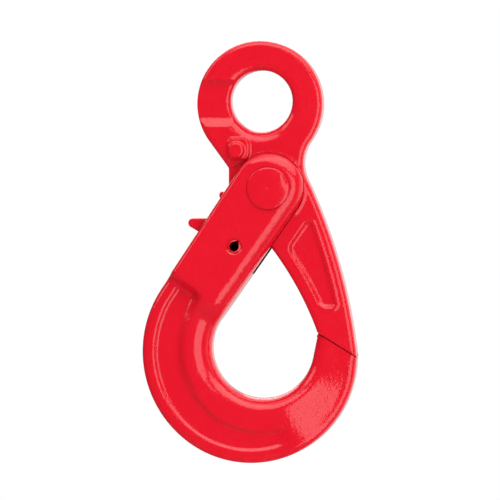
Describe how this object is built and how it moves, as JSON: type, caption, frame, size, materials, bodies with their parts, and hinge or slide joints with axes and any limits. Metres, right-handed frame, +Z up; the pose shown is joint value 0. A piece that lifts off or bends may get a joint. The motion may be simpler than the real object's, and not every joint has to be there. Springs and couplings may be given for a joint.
{
  "type": "self-locking eye hook",
  "caption": "Forged lifting hook with an eye, a latch arm that closes its mouth, and a sprung release trigger that locks it shut.",
  "frame": {"origin": "centre of the eye's hole, half way through its thickness", "axes": "+Z up along the hanging hook, +Y from its front to its back along the pins, +X towards the latch arm"},
  "size_m": [0.1117, 0.0318, 0.219],
  "materials": {
    "latch_enamel": "gloss red enamel on forged alloy steel",
    "hook_enamel": "gloss red enamel on forged alloy steel",
    "pin_enamel": "gloss red enamel on a riveted steel pin",
    "trigger_enamel": "gloss red enamel on a cast steel lever",
    "spring_pin_enamel": "red enamel over a rolled spring steel pin",
    "spring_wire": "bright spring steel wire"
  },
  "bodies": {
    "eye_latch": {"eye_latch": "latch_enamel"},
    "hook": {"hook_body": "hook_enamel", "load_pin": "pin_enamel", "trigger_pin": "spring_pin_enamel", "trigger_spring": "spring_wire"},
    "trigger": {"trigger": "trigger_enamel"}
  },
  "joints": [
    {"name": "hook_swing", "type": "hinge", "parent": "eye_latch", "child": "hook", "pos_m": [0.004, 0, -0.0453], "axis": [0, 1, 0], "range_deg": [0, 30]},
    {"name": "trigger_press", "type": "hinge", "parent": "hook", "child": "trigger", "pos_m": [-0.01359, 0, -0.07538], "axis": [0, -1, 0], "range_deg": [0, 18], "stiffness_Nm_per_rad": 0.02, "springref_deg": -17.19, "deforming": ["trigger_spring"]}
  ],
  "couplings": [
    {"joint": "trigger_press", "follows": "hook_swing", "ratio": 0.6}
  ]
}
